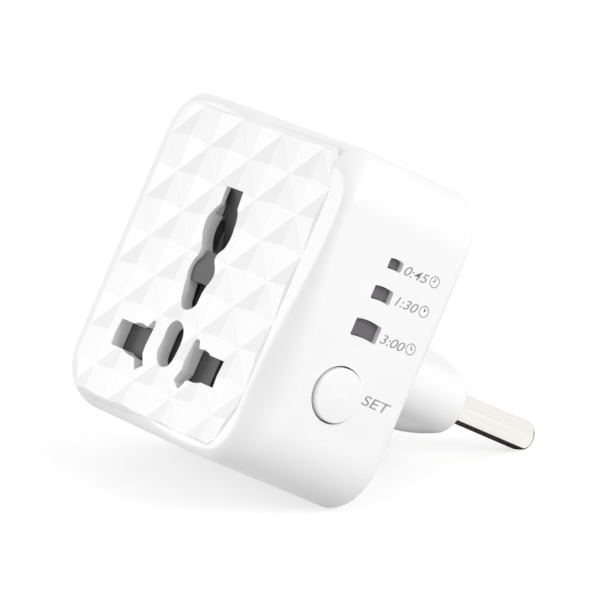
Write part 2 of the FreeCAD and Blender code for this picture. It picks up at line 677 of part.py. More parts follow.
post_x = inner_half - S.post_inset
post_low = inner_bottom + S.post_inset
post_high = inner_top - S.post_inset
post_end = cover_in - S.loose_gap
lug_front = face_in + S.lug_boss_high
lug_back = lug_front + S.lug_thick
head_top = back - S.loose_gap
head_seat = head_top - S.case_head_high
posts, pilots, case_screws, cover_holes = [], [], [], []
for across in (-1, 1):
    for level, post_z in (("low", post_low), ("high", post_high)):
        tag = f"{level}_{'left' if across < 0 else 'right'}"
        at = (post_x * across, post_z)
        posts.append(rod("post_" + tag, "y", at, S.post_radius, face_in - S.join_over, board_front))
        posts.append(rod("spigot_" + tag, "y", at, S.spigot_radius, board_front - S.join_over, post_end))
        pilots.append(rod("pilot_" + tag, "y", at, S.case_screw / 2 + S.fit_gap,
                          back - S.case_screw_long - S.pilot_extra, back))
        shank = rod("shank_" + tag, "y", at, S.case_screw / 2,
                    head_seat - S.case_screw_long, head_seat + S.join_over)
        head = rod("head_" + tag, "y", at, S.case_head / 2, head_seat, head_top)
        arms = ((S.recess_long / 2, S.recess_wide / 2), (S.recess_wide / 2, S.recess_long / 2))
        recess_y = (head_top - S.recess_deep, head_top + S.cut_over)
        cross = [box(f"recess_{turn}_{tag}", (at[0] - x, at[0] + x), recess_y, (at[1] - z, at[1] + z))
                 for turn, (x, z) in zip(("level", "upright"), arms)]
        case_screws.append(cut("screw_" + tag, fuse("screw_blank_" + tag, shank, head), *cross))
        cover_holes.append(rod("clear_" + tag, "y", at, S.case_screw / 2 + S.loose_gap,
                               cover_in - S.cut_over, back + S.cut_over))
        cover_holes.append(rod("sink_" + tag, "y", at, S.case_head / 2 + S.loose_gap,
                               head_seat, back + S.cut_over))

lug_places = [(S.lug_screw_x, slot_z), (-S.lug_screw_x, slot_z),
              (S.lug_screw_top_x, S.lug_screw_top_z), (-S.lug_screw_top_x, S.lug_screw_top_z)]
lug_bosses, lug_pilots, lug_screws, lug_holes = [], [], [], []
for index, at in enumerate(lug_places):
    lug_bosses.append(rod(f"lug_boss_{index}", "y", at, S.lug_boss_radius, face_in - S.join_over, lug_front))
    lug_pilots.append(rod(f"lug_pilot_{index}", "y", at, S.lug_screw / 2 + S.fit_gap,
                          face_in + S.lug_pilot_floor, lug_front + S.cut_over))
    shank = rod(f"lug_shank_{index}", "y", at, S.lug_screw / 2,
                face_in + S.lug_screw_floor, lug_back + S.join_over)
    head = rod(f"lug_head_{index}", "y", at, S.lug_boss_radius - S.slide_gap,
               lug_back, lug_back + S.lug_head_high)
    lug_screws.append(fuse(f"lug_screw_{index}", shank, head))
    lug_holes.append(rod(f"lug_hole_{index}", "y", at, S.lug_screw / 2 + S.fit_gap,
                         lug_front - S.cut_over, lug_back + S.cut_over))

# Front shell

smooth_case = outer_form(front)
outer = shape("case_outer", smooth_case.multiFuse(relief()).removeSplitter())
cavity = shape("case_cavity", inner_form())
hollow_case = cut("hollow_case", outer, cavity)
with_posts = fuse("case_with_posts", hollow_case, *posts, *lug_bosses)
front_shell = node("front_shell", cut(
    "front_shell", with_posts, line_slot, neutral_slot, earth_hole, centre_hole, ramp_groove,
    button_cut, *window_cuts, *pilots, *lug_pilots))

# Rear cover: a plate let into the back of the shell, with the hollow oval plug boss


def oval(wide, high, end_radius):
    """Four-arc oval: two small end arcs that run smoothly into two large arcs."""
    a, b, r = float(wide) / 2, float(high) / 2, float(end_radius)
    k = a - r
    big = (k * k + b * b - r * r) / (2 * (b - r))
    turn = math.atan2(k, big - b)
    x, z = big * math.sin(turn), b - big + big * math.cos(turn)
    return outline(to_front, (-x, z), ((0, b), (x, z)), ((a, 0), (x, -z)),
                   ((0, -b), (-x, -z)), ((-a, 0), (-x, z)))


plate = rounded_block(inner_half - S.cover_gap, cover_in, back, inner_bottom + S.cover_gap,
                      inner_top - S.cover_gap, S.corner_radius - S.wall - S.cover_gap)
cover_plate = shape("cover_plate", plate)
boss = front_prism(oval(S.boss_width, S.boss_height, S.boss_end_radius), cover_in + S.join_over, 0)
end_loop = edges_where(boss, lambda b: flat_in_y(b, 0))
boss_outer = shape("boss_outer", boss.makeFillet(float(S.boss_edge_radius), end_loop))
boss_inner = shape("boss_inner", front_prism(
    oval(S.boss_width - 2 * S.boss_wall, S.boss_height - 2 * S.boss_wall, S.boss_end_radius - S.boss_wall),
    cover_in - S.cut_over, -S.boss_end))
cover_solid = cut("cover_solid", fuse("cover_blank", cover_plate, boss_outer), boss_inner)
flange_front = -S.boss_end - S.pin_flange_thick
retainer_post = rod("retainer_post", "y", (0, 0), S.retainer_post / 2, flange_front, -S.boss_end + S.join_over)
retainer_pilot = rod("retainer_pilot", "y", (0, 0), S.retainer_screw / 2 + S.fit_gap,
                     flange_front - S.cut_over, -S.retainer_pilot_end)
pin_holes = [rod(f"pin_hole_{side}", "y", (pin_x * side, 0), S.pin_diameter / 2 + S.fit_gap,
                 -S.boss_end - S.cut_over, S.cut_over) for side in (-1, 1)]
rear_cover = node("rear_cover", cut(
    "rear_cover", fuse("cover_with_post", cover_solid, retainer_post), retainer_pilot, *pin_holes, *cover_holes))

# Plug pins: turned brass, plated; each a revolved profile with shank, flange and tail


def bulge(start, end, radius):
    """The arc between two profile points that bulges away from the axis and towards +Y."""
    along = end - start
    reach = math.sqrt(float(radius) ** 2 - (along.Length / 2) ** 2)
    centre = (start + end) * 0.5 + Vector(along.y, -along.x, 0).normalize() * reach
    angles = [math.atan2(point.y - centre.y, point.x - centre.x) for point in (end, start)]
    return Part.ArcOfCircle(Part.Circle(centre, Vector(0, 0, 1), float(radius)), *angles)


def turned(name, profile, rounds):
    """A body turned about the Y axis from (radius, y) points; rounds maps an arc's start to its radius."""
    body = doc.addObject("PartDesign::Body", name)
    sketch = body.newObject("Sketcher::SketchObject", name + "_profile")
    plane = [item for item in body.Origin.OriginFeatures if item.Role == "XY_Plane"][0]
    sketch.AttachmentSupport = [(plane, "")]
    sketch.MapMode = "FlatFace"
    count = len(profile)
    points = [vec(radius, y, 0) for radius, y in profile]
    for index, point in enumerate(points):
        after = points[(index + 1) % count]
        edge = bulge(point, after, rounds[index]) if index in rounds else Part.LineSegment(point, after)
        sketch.addGeometry(edge, False)
    for index, (radius, y) in enumerate(profile):
        after = (index + 1) % count
        first = 2 if index in rounds else 1
        next_first = 2 if after in rounds else 1
        sketch.addConstraint(Constraint("Coincident", index, 3 - first, after, next_first))
        for kind, axis, size in (("DistanceX", -2, radius), ("DistanceY", -1, y)):
            if abs(float(size)) < 1e-9:
                sketch.addConstraint(Constraint("PointOnObject", index, first, axis))
            else:
                number = sketch.addConstraint(Constraint(kind, -1, 1, index, first, float(size)))
                sketch.setExpression(f"Constraints[{number}]", as_size(size).text)
    for index, radius in rounds.items():
        number = sketch.addConstraint(Constraint("Radius", index, float(radius)))
        sketch.setExpression(f"Constraints[{number}]", as_size(radius).text)
    doc.recompute()
    turn = body.newObject("PartDesign::Revolution", name + "_turned")
    turn.Profile = sketch
    turn.ReferenceAxis = (sketch, ["V_Axis"])
    turn.Angle = 360
    body.Tip = turn
    return body


tail_end = board_front - S.pin_tail_proud
pin_profile = [
    (0, S.pin_length), (S.pin_diameter / 2 - S.pin_tip_radius, S.pin_length),
    (S.pin_diameter / 2, S.pin_length - S.pin_tip_radius), (S.pin_diameter / 2, 0),
    (S.pin_groove_diameter / 2, 0), (S.pin_groove_diameter / 2, -S.pin_groove_wide),
    (S.pin_diameter / 2, -S.pin_groove_wide), (S.pin_diameter / 2, -S.boss_end),
    (S.pin_flange_diameter / 2, -S.boss_end), (S.pin_flange_diameter / 2, flange_front),
    (S.pin_tail_diameter / 2, flange_front), (S.pin_tail_diameter / 2, tail_end), (0, tail_end),
]
for name, x in (("pin_right", pin_x), ("pin_left", -pin_x)):
    pin = turned(name, pin_profile, {1: S.pin_tip_radius})
    bind(pin, "Placement.Base.x", x)
    node(name, pin)

retainer_front = flange_front - S.retainer_thick
retainer_in = S.boss_wall + S.retainer_inset
retainer_blank = shape("retainer_blank", front_prism(
    oval(S.boss_width - 2 * retainer_in, S.boss_height - 2 * retainer_in, S.boss_end_radius - retainer_in),
    retainer_front, flange_front))
retainer_holes = [rod(f"retainer_hole_{side}", "y", (pin_x * side, 0), S.pin_tail_diameter / 2 + S.fit_gap,
                      retainer_front - S.cut_over, flange_front + S.cut_over) for side in (-1, 1)]
retainer_clear = rod("retainer_clear", "y", (0, 0), S.retainer_screw / 2 + S.fit_gap,
                     retainer_front - S.cut_over, flange_front + S.cut_over)
node("pin_retainer", cut("pin_retainer", retainer_blank, retainer_clear, *retainer_holes))
retainer_shank = rod("retainer_shank", "y", (0, 0), S.retainer_screw / 2,
                     retainer_front - S.join_over, -S.retainer_screw_end)
retainer_head = rod("retainer_head", "y", (0, 0), S.retainer_head / 2,
                    retainer_front - S.retainer_head_high, retainer_front)
node("retainer_screw", fuse("retainer_screw", retainer_shank, retainer_head))
node("case_screws", group("case_screws", *case_screws))
node("carrier_screws", group("carrier_screws", *lug_screws))

# Safety shutter: a plate with two leaves over the pole slots, two rails and the ramp of the earth pin

plate_front = face_in + S.slide_gap
plate_back = plate_front + S.shutter_thick
carrier_front = plate_back + S.loose_gap
leaf_outer = S.slot_outer + S.leaf_past_outer
leaf_inner = S.slot_inner - S.leaf_past_inner
leaf_low = slot_z - S.leaf_below
leaf_high = slot_z + S.leaf_above
rail_inner = S.ramp_width / 2 + S.rail_gap
rail_outer = rail_inner + S.rail_wide
spring_seat = leaf_high + S.spring_lug_high


def across_span(side, low, high):
    """A span in X on the right side (+1), or its mirror on the left side (-1)."""
    return (low, high) if side > 0 else (-as_size(high), -as_size(low))


def shutter_side(tag, side):
    """One leaf with its rail, arm and spring seat; the step lies on the side that faces +X."""
    thin = (plate_front + S.shutter_step, plate_back)
    thick = (plate_front, plate_back)
    stepped = (leaf_inner, leaf_outer - S.shutter_step_wide)
    if side < 0:
        stepped = (leaf_inner + S.shutter_step_wide, leaf_outer)
    return [
        box("leaf_back_" + tag, across_span(side, leaf_inner, leaf_outer), thin, (leaf_low, leaf_high)),
        box("leaf_face_" + tag, across_span(side, *stepped), thick, (leaf_low, leaf_high)),
        box("rail_" + tag, across_span(side, rail_inner, rail_outer), thick,
            (leaf_high - S.join_over, S.ramp_top)),
        box("arm_" + tag, across_span(side, S.ramp_width / 2 - S.join_over, rail_outer), thick,
            (S.ramp_top - S.arm_tall, S.ramp_top)),
        box("spring_lug_" + tag, across_span(
            side, S.spring_offset - S.spring_lug_wide / 2, S.spring_offset + S.spring_lug_wide / 2),
            (plate_front, plate_front + S.spring_lug_deep), (leaf_high - S.join_over, spring_seat)),
    ]


ramp_bottom = S.ramp_top - S.ramp_tall
ramp_back = ramp_front + S.ramp_fall + S.ramp_back
ramp = shape("ramp", side_prism(outline(
    to_side, (ramp_front, S.ramp_top), (ramp_front + S.ramp_fall, ramp_bottom), (ramp_back, ramp_bottom),
    (ramp_back, S.ramp_top)), -S.ramp_width / 2, S.ramp_width / 2))
shutter = node("shutter", fuse("shutter", ramp, *shutter_side("right", 1), *shutter_side("left", -1)))

# Shutter springs: compression springs that press the shutter down against the carrier's ledge

spring_y = plate_front + S.spring_depth


def helix_spring(x):
    """A round wire swept along one helix, between the seat on the shutter and the seat on the carrier."""
    turns, radius = int(float(S.spring_turns)), float(S.spring_radius)
    wire = float(S.spring_wire)
    low = float(spring_seat + S.fit_gap) + wire / 2
    high = float(S.spring_top - S.fit_gap) - wire / 2
    coil = Part.makeHelix((high - low) / turns, high - low, radius)
    profile = Part.Wire(Part.makeCircle(wire / 2, Vector(radius, 0, 0), Vector(0, 1, 0)))
    solid = Part.Wire(coil.Edges).makePipeShell([profile], True, True)
    solid.translate(vec(x, spring_y, low))
    return solid


spring_pair = [helix_spring(S.spring_offset), helix_spring(-S.spring_offset)]
springs = shape("shutter_springs", Part.makeCompound(spring_pair))
node("shutter_springs", springs)

# Contact carrier: block with two contact chambers, centre pocket, earth chamber and the shutter's guides

carrier_back = carrier_front + S.carrier_depth
block_low = leaf_low - S.carrier_below
block_high = slot_z + S.carrier_above
block_join = block_high - S.join_over
chamber_low = slot_z - S.chamber_below
chamber_high = slot_z + S.chamber_above
chamber_back = carrier_back - S.carrier_wall
chimney_top = inner_top - S.chimney_top_gap
chimney_back = cover_in - S.chimney_back_gap
chimney_in = S.chimney_half - S.carrier_wall
ledge_front = face_in + S.fit_gap
guide_inner = leaf_outer + S.leaf_side_gap
guide_high = slot_z + S.guide_top
wing_outer = S.spring_offset + S.wing_past
pivot_y = ledge_front + S.pivot_in
carrier_parts = [
    box("carrier_block", (-S.carrier_half, S.carrier_half), (carrier_front, carrier_back),
        (block_low, block_high)),
    box("chimney", (-S.chimney_half, S.chimney_half), (carrier_front, chimney_back), (block_join, chimney_top)),
]
carrier_ears = []
carrier_cuts = [
    box("earth_chamber", (-chimney_in, chimney_in), (carrier_front - S.cut_over, chimney_back - S.carrier_wall),
        (block_high + S.chimney_floor, chimney_top + S.cut_over)),
    shape("centre_pocket", front_prism(
        centre_slot(S.loose_gap), carrier_front - S.cut_over, carrier_back - S.pocket_floor)),
]
for side, tag in ((1, "right"), (-1, "left")):
    carrier_parts += [
        box("wing_" + tag, across_span(side, S.chimney_half - S.join_over, wing_outer),
            (carrier_front, carrier_front + S.spring_lug_deep), (block_join, S.spring_top + S.wing_roof)),
        box("guide_" + tag, across_span(side, guide_inner, S.carrier_half),
            (ledge_front, carrier_front + S.join_over), (block_low, guide_high)),
        box("guide_web_" + tag, across_span(side, wing_outer - S.join_over, S.carrier_half),
            (carrier_front, carrier_front + S.guide_web), (block_join, guide_high)),
        box("ledge_" + tag, across_span(side, leaf_inner, S.carrier_half),
            (ledge_front, carrier_front + S.join_over), (block_low, leaf_low - S.loose_gap)),
        box("lug_low_" + tag, across_span(side, S.carrier_half - S.join_over, S.lug_screw_x + S.lug_boss_radius),
            (lug_front, lug_back), (slot_z - S.lug_tall / 2, slot_z + S.lug_tall / 2)),
        box("lug_top_" + tag,
            across_span(side, S.chimney_half - S.join_over, S.lug_screw_top_x + S.lug_boss_radius),
            (lug_front, lug_back), (S.lug_screw_top_z - S.lug_tall / 2, S.lug_screw_top_z + S.lug_tall / 2)),
    ]
    ear_z = (S.flap_pivot_high - S.ear_high / 2, S.flap_pivot_high + S.ear_high / 2)
    ear_inner = S.ramp_width / 2 - S.join_over
    carrier_ears += [
        box("ear_" + tag, across_span(side, ear_inner, chimney_in),
            (ledge_front, carrier_front + S.ear_deep), ear_z),
        box("ear_root_" + tag, across_span(side, ear_inner, S.chimney_half - S.carrier_wall / 2),
            (carrier_front + S.slide_gap, carrier_front + S.ear_deep), ear_z),
    ]
    lug_half = S.spring_lug_wide / 2 + S.loose_gap
    tab_half = S.tab_thick / 2 + S.loose_gap
    carrier_cuts += [
        box("contact_chamber_" + tag, across_span(side, S.chamber_inner, guide_inner),
            (carrier_front - S.cut_over, chamber_back), (chamber_low, chamber_high)),
        box("spring_channel_" + tag, across_span(side, S.spring_offset - lug_half, S.spring_offset + lug_half),
            (carrier_front - S.cut_over, plate_front + S.spring_lug_deep + S.loose_gap),
            (leaf_high - S.join_over - S.slide_gap, S.spring_top)),
        box("tab_slot_" + tag, across_span(
            side, S.spring_offset - S.loose_gap, S.spring_offset + S.tab_wide + S.loose_gap),
            (chamber_back - S.cut_over, carrier_back + S.cut_over), (slot_z - tab_half, slot_z + tab_half)),
    ]
bore_end = S.chimney_half - S.join_over
axle_bore = rod("axle_bore", "x", (pivot_y, S.flap_pivot_high), S.axle_diameter / 2 + S.press_gap,
                -bore_end, bore_end)
hollow_carrier = cut("hollow_carrier", fuse("carrier_blank", *carrier_parts), *carrier_cuts, *lug_holes)
carrier = node("contact_carrier", cut(
    "contact_carrier", fuse("carrier_with_ears", hollow_carrier, *carrier_ears), axle_bore))

# Socket contacts: a brass strip bent to a clip, with a tab through the power board


def strip(points, thick, low, high):
    """A bent strip: flat runs of one thickness joined by round bends."""
    runs = []
    for (y1, z1), (y2, z2) in zip(points, points[1:]):
        along = Vector(0, y2 - y1, z2 - z1)
        side = Vector(0, -along.z, along.y).normalize() * (thick / 2)
        start, end = Vector(0, y1, z1), Vector(0, y2, z2)
        loop = [start - side, end - side, end + side, start + side, start - side]
        runs.append(Part.Face(Part.makePolygon(loop)).extrude(Vector(high - low, 0, 0)))
    for y, z in points[1:-1]:
        runs.append(Part.makeCylinder(thick / 2, high - low, Vector(0, y, z), Vector(1, 0, 0)))
    made = runs[0].multiFuse(runs[1:]).removeSplitter()
    made.translate(Vector(low, 0, 0))
    return made


web_y = float(chamber_back - S.contact_thick / 2 - S.contact_gap)
mouth_y = float(carrier_front + S.contact_mouth)
contact_low = float(S.slot_inner + S.contact_inset)
arm_path = [(mouth_y, 3.4), (mouth_y + 2.2, 1.95), (mouth_y + 4.4, 1.95), (mouth_y + 7.6, 3.0), (web_y, 3.0)]
clip_path = [(y, float(slot_z) + rise) for y, rise in arm_path]
clip_path += [(y, float(slot_z) - rise) for y, rise in reversed(arm_path)]
clip = shape("clip", strip(clip_path, float(S.contact_thick), contact_low, contact_low + float(S.contact_wide)))
tab = box("contact_tab", (S.spring_offset, S.spring_offset + S.tab_wide), (web_y, board_back + S.tab_proud),
          (slot_z - S.tab_thick / 2, slot_z + S.tab_thick / 2))
live = node("live_contact", fuse("live_contact", clip, tab))
node("neutral_contact", mirrored("neutral_contact", live))

# Earth flap: small door in the lower swell of the earth slot, swinging inwards on its axle

flap_front = front + S.flap_recess
flap_back = flap_front + S.flap_thick
door = shape("flap_door", front_prism(outline(
    to_front, (2.2, 5.5), ((3.1, 3.75), (2.45, 1.95)), (-2.45, 1.95), ((-3.1, 3.75), (-2.2, 5.5))),
    flap_front, flap_back))
flap_arm = box("flap_arm", (-S.flap_arm_half, S.flap_arm_half), (flap_front, pivot_y),
               (S.flap_pivot_high - S.flap_arm_below, S.flap_pivot_high + S.flap_arm_above))
hub_end = S.ramp_width / 2 - S.rail_gap
flap_hub = rod("flap_hub", "x", (pivot_y, S.flap_pivot_high), S.flap_hub / 2, -hub_end, hub_end)
flap_bore = rod("flap_bore", "x", (pivot_y, S.flap_pivot_high), S.axle_diameter / 2 + S.running_gap,
                -S.chimney_half, S.chimney_half)
flap = node("earth_flap", cut("earth_flap", fuse("flap_blank", door, flap_arm, flap_hub), flap_bore))
axle_end = S.ramp_width / 2 + S.axle_past
node("flap_axle", rod("flap_axle", "x", (pivot_y, S.flap_pivot_high), S.axle_diameter / 2,
                      -axle_end, axle_end))

# Power board with a deep notch for the earth chamber, held between the posts and the rear cover

board_half = inner_half - S.board_edge_gap
board_low = inner_bottom + S.board_edge_gap
board_high = inner_top - S.board_edge_gap
board_blank = shape("board_blank", rounded_block(
    board_half, board_front, board_back, board_low, board_high, S.corner_radius - S.wall - S.board_edge_gap))
notch_half = S.chimney_half + 2 * S.loose_gap
board_cuts = [box("board_notch", (-notch_half, notch_half), (board_front - S.cut_over, board_back + S.cut_over),
                  (block_high - S.carrier_wall, board_high + S.cut_over))]
for side, tag in ((1, "right"), (-1, "left")):
    through = (board_front - S.cut_over, board_back + S.cut_over)
    for level, post_z in (("low", post_low), ("high", post_high)):
        board_cuts.append(rod(f"board_post_hole_{level}_{tag}", "y", (post_x * side, post_z),
                              S.spigot_radius + S.slide_gap, *through))
    board_cuts.append(rod("board_pin_hole_" + tag, "y", (pin_x * side, 0),
                          S.pin_tail_diameter / 2 + S.loose_gap, *through))
    board_cuts.append(box("board_tab_slot_" + tag, across_span(
        side, S.spring_offset - S.loose_gap, S.spring_offset + S.tab_wide + S.loose_gap), through,
        (slot_z - S.tab_thick / 2 - S.loose_gap, slot_z + S.tab_thick / 2 + S.loose_gap)))
main_board = node("main_board", cut("main_board", board_blank, *board_cuts))


def solder_ring(x):
    """A cone of solder round one pin tail, on the front of the power board."""
    high, tail = float(S.solder_ring_high), float(S.pin_tail_diameter / 2)
    foot = vec(x, board_front - S.solder_ring_high, 0)
    cone = Part.makeCone(tail + float(S.slide_gap), float(S.solder_ring_wide), high, foot, Vector(0, 1, 0))
    return cone.cut(Part.makeCylinder(tail + float(S.press_gap), high, foot, Vector(0, 1, 0)))


node("pin_solder", shape("pin_solder", Part.makeCompound([solder_ring(pin_x), solder_ring(-pin_x)])))

# Indicator board beside the right wall, with its lamps, push switch, controller and connector

side_out = inner_half - S.side_board_inset
side_in = side_out - S.side_board_thick
side_board_y = (face_in + S.side_board_front, board_front - S.side_board_back)
side_board_z = (button_z - S.side_board_below, S.ramp_top + S.side_board_above)
node("side_board", box("side_board", (side_in, side_out), side_board_y, side_board_z))
header_x = (side_in - S.header_deep, side_in)
header_y = (board_front - S.header_deep, board_front)
node("board_header", box("board_header", header_x, header_y, (S.header_low, S.header_low + S.header_long)))
chip_y = face_in + S.chip_front
node("controller_chip", box("controller_chip", (side_in - S.chip_high, side_in), (chip_y, chip_y + S.chip_wide),
                            (S.chip_low, S.chip_low + S.chip_long)))

lens_front = half - S.lens_recess
flange_x = (inner_half - S.lens_flange, inner_half)
for label, y, z, wide, tall in WINDOWS:
    insert = window_prism(y, z, wide, tall, S.lens_gap, inner_half - S.join_over, lens_front)
    stem = shape("lens_stem_" + label, insert)
    flange_y = (y - wide / 2 - S.lens_flange_past, y + wide / 2 + S.lens_flange_past)
    flange_z = (z - tall / 2 - S.lens_flange_past, z + tall / 2 + S.lens_flange_past)
    flange = box("lens_flange_" + label, flange_x, flange_y, flange_z)
    node("lens_" + label, fuse("lens_" + label, stem, flange))
    lamp_base = box("lamp_base_" + label, (side_out, side_out + S.led_high),
                    (y - S.led_wide / 2, y + S.led_wide / 2), (z - S.led_tall / 2, z + S.led_tall / 2))
    lamp_dome = rod("lamp_dome_" + label, "x", (y, z), S.led_dome / 2,
                    side_out + S.led_high - S.slide_gap, flange_x[0] - S.led_gap)
    node("led_" + label, fuse("led_" + label, lamp_base, lamp_dome))

button_at = (-S.button_y, button_z)
switch_y = (-S.button_y - S.switch_square / 2, -S.button_y + S.switch_square / 2)
switch_z = (button_z - S.switch_square / 2, button_z + S.switch_square / 2)
flange_out = inner_half - S.loose_gap
flange_in = flange_out - S.button_flange_thick
stem_tip = flange_in - S.button_stem_long
switch_top = side_out + S.switch_high
switch_body = box("switch_blank", (side_out, switch_top), switch_y, switch_z)
plunger_well = rod("plunger_well", "x", button_at, S.plunger_diameter / 2 + S.slide_gap,
                   side_out + S.switch_floor, switch_top + S.cut_over)
node("switch_body", cut("switch_body", switch_body, plunger_well))
plunger_foot = side_out + S.switch_floor + S.button_travel + S.slide_gap
node("switch_plunger", rod("switch_plunger", "x", button_at, S.plunger_diameter / 2, plunger_foot, stem_tip))

# Button: a low domed cap that is held in its hole by a flange behind the side wall

cap_radius = S.button_diameter / 2
cap_flat = cap_radius - S.button_edge_radius
cap_out = half + S.button_proud
dome_radius = (cap_flat * cap_flat + S.button_dome * S.button_dome) / (2 * S.button_dome)
button_profile = [
    (0, cap_out + S.button_dome), (cap_flat, cap_out), (cap_radius, cap_out - S.button_edge_radius),
    (cap_radius, flange_out), (S.button_flange / 2, flange_out), (S.button_flange / 2, flange_in),
    (S.button_stem / 2, flange_in), (S.button_stem / 2, stem_tip), (0, stem_tip),
]
button = turned("set_button", button_profile, {0: dome_radius, 1: S.button_edge_radius})
button.Placement = Placement(Vector(), Rotation(Vector(0, 0, 1), -90))
bind(button, "Placement.Base.y", -S.button_y)
bind(button, "Placement.Base.z", button_z)
node("set_button", button)

# Relay on the power board: cover, base, coil on its core, yoke, hinged armature and contacts

relay_left = -board_half + S.relay_edge
relay_x = (relay_left, relay_left + S.relay_wide)
relay_z = (S.relay_low, S.relay_low + S.relay_long)
relay_front = board_front - S.relay_high
base_front = board_front - S.relay_base
cover_box = box("relay_cover_outer", relay_x, (relay_front, base_front), relay_z)
cover_void = box("relay_cover_inner", (relay_x[0] + S.relay_skin, relay_x[1] - S.relay_skin),
                 (relay_front + S.relay_skin, base_front + S.cut_over),
                 (relay_z[0] + S.relay_skin, relay_z[1] - S.relay_skin))
node("relay_case", cut("relay_case", cover_box, cover_void))
node("relay_base", box("relay_base", relay_x, (base_front, board_front), relay_z))

relay_mid = (relay_x[0] + relay_x[1]) / 2
coil_y = base_front - S.coil_off_base
coil_at = (relay_mid, coil_y)
coil_low = relay_z[0] + S.coil_low
coil_high = relay_z[1] - S.coil_high
flange = S.coil_flange_thick
coil_parts = [
    rod("coil_winding", "z", coil_at, S.coil_radius, coil_low + flange / 2, coil_high - flange / 2),
    rod("coil_flange_low", "z", coil_at, S.coil_flange_radius, coil_low, coil_low + flange),
    rod("coil_flange_high", "z", coil_at, S.coil_flange_radius, coil_high - flange, coil_high),
]
core_bore = rod("core_bore", "z", coil_at, S.core_diameter / 2 + S.fit_gap,
                coil_low - S.cut_over, coil_high + S.cut_over)
node("relay_coil", cut("relay_coil", fuse("coil_blank", *coil_parts), core_bore))
yoke_x = (relay_mid - S.yoke_half, relay_mid + S.yoke_half)
yoke_foot = relay_z[0] + S.yoke_low
yoke_back = base_front - S.loose_gap
core_top = coil_high + S.core_proud
yoke_end = core_top + S.yoke_above_core
node("relay_core", rod("relay_core", "z", coil_at, S.core_diameter / 2, yoke_foot + S.yoke_thick, core_top))
yoke_plate = box("yoke_plate", yoke_x, (yoke_back - S.yoke_thick, yoke_back), (yoke_foot, yoke_end))
foot_plate = box("yoke_foot", yoke_x, (coil_y - S.coil_flange_radius, yoke_back),
                 (yoke_foot, yoke_foot + S.yoke_thick))
node("relay_yoke", fuse("relay_yoke", yoke_plate, foot_plate))
armature_low = yoke_end + S.armature_gap
armature_edge = S.armature_thick / 2
armature_hinge_y = yoke_back - S.yoke_thick + armature_edge
armature_hinge_z = armature_low + armature_edge
armature_plate = box("armature_plate", yoke_x, (coil_y - S.armature_reach, armature_hinge_y),
                     (armature_low, armature_low + S.armature_thick))
armature_edge_rod = rod("armature_edge", "x", (armature_hinge_y, armature_hinge_z), armature_edge, *yoke_x)
node("relay_armature", fuse("relay_armature", armature_plate, armature_edge_rod))
contact_y = coil_y - S.leaf_off_coil
leaf_top = relay_z[1] - S.leaf_below_top
contact_leaf = box("contact_leaf", (relay_mid - S.leaf_half, relay_mid + S.leaf_half),
                   (contact_y - S.leaf_thick, contact_y), (relay_z[0] + S.relay_skin, leaf_top))
contact_rivet = rod("contact_rivet", "y", (relay_mid, leaf_top - S.rivet_diameter / 2 - S.leaf_thick),
                    S.rivet_diameter / 2, contact_y - S.leaf_thick - S.rivet_proud, contact_y - S.slide_gap)
node("relay_contacts", fuse("relay_contacts", contact_leaf, contact_rivet))

# Supply and protection parts on the power board

film_right = side_in - S.film_gap
film_x = (film_right - S.film_wide, film_right)
node("film_capacitor", box("film_capacitor", film_x, (board_front - S.film_high, board_front),
                           (S.film_low, S.film_low + S.film_long)))


def can(name, x, z, radius, long):
    """An electrolytic can: sleeve with a rolled groove near its foot."""
    body = rod(name + "_sleeve", "y", (x, z), radius, board_front - long, board_front)
    depth = float(S.can_groove)
    middle = vec(x, board_front - S.can_groove_high, z)
    ring = Part.makeTorus(float(radius) + depth / 2, depth, middle, Vector(0, 1, 0))
    return cut(name, body, shape(name + "_groove", ring))


large_x = (film_x[0] + S.chimney_half) / 2 + S.fit_gap
node("electrolytic_large", can(
    "electrolytic_large", large_x, S.can_large_z, S.can_large_radius, S.can_large_long))
node("electrolytic_small", can(
    "electrolytic_small", large_x + S.can_small_shift, S.can_small_z, S.can_small_radius, S.can_small_long))
bridge_left = S.chimney_half + S.bridge_gap
bridge_x = (bridge_left, bridge_left + S.bridge_wide)
bridge_z = (S.bridge_low, S.bridge_low + S.bridge_long)
bridge_y = (board_front - S.bridge_high, board_front)
node("bridge_rectifier", box("bridge_rectifier", bridge_x, bridge_y, bridge_z))
varistor_x = -board_half + S.varistor_edge
varistor_z = slot_z + S.varistor_above
varistor_disc = rod("varistor_disc", "x", (board_front - S.varistor_high, varistor_z), S.varistor_radius,
                    varistor_x, varistor_x + S.varistor_thick)
foot_x = varistor_x + S.varistor_thick / 2 - S.varistor_foot_thick / 2
varistor_foot = box("varistor_foot", (foot_x, foot_x + S.varistor_foot_thick),
                    (board_front - S.varistor_high + S.varistor_radius - S.cut_over, board_front),
                    (varistor_z - S.varistor_foot_long / 2, varistor_z + S.varistor_foot_long / 2))
node("varistor", fuse("varistor", varistor_disc, varistor_foot))
fuse_x = -S.carrier_half - S.fuse_gap
fuse_y = board_front - S.fuse_high
fuse_low = slot_z + S.fuse_above
fuse_top = fuse_low + S.fuse_long
lead_x = (fuse_x - S.fuse_lead / 2, fuse_x + S.fuse_lead / 2)
node("thermal_fuse", fuse(
    "thermal_fuse", rod("fuse_tube", "z", (fuse_x, fuse_y), S.fuse_radius, fuse_low, fuse_top),
    box("fuse_lead_low", lead_x, (fuse_y, board_front), (fuse_low - S.fuse_lead / 2, fuse_low + S.fuse_lead / 2)),
    box("fuse_lead_high", lead_x, (fuse_y, board_front), (fuse_top - S.fuse_lead / 2, fuse_top + S.fuse_lead / 2))))
resistor_at = (board_front - S.resistor_radius, block_low - S.resistor_drop)
resistors = []
for index in range(3):
    x = (index - 1) * S.resistor_pitch
    resistors.append(rod(f"resistor_{index}", "x", resistor_at, S.resistor_radius,
                         x - S.resistor_long / 2, x + S.resistor_long / 2))
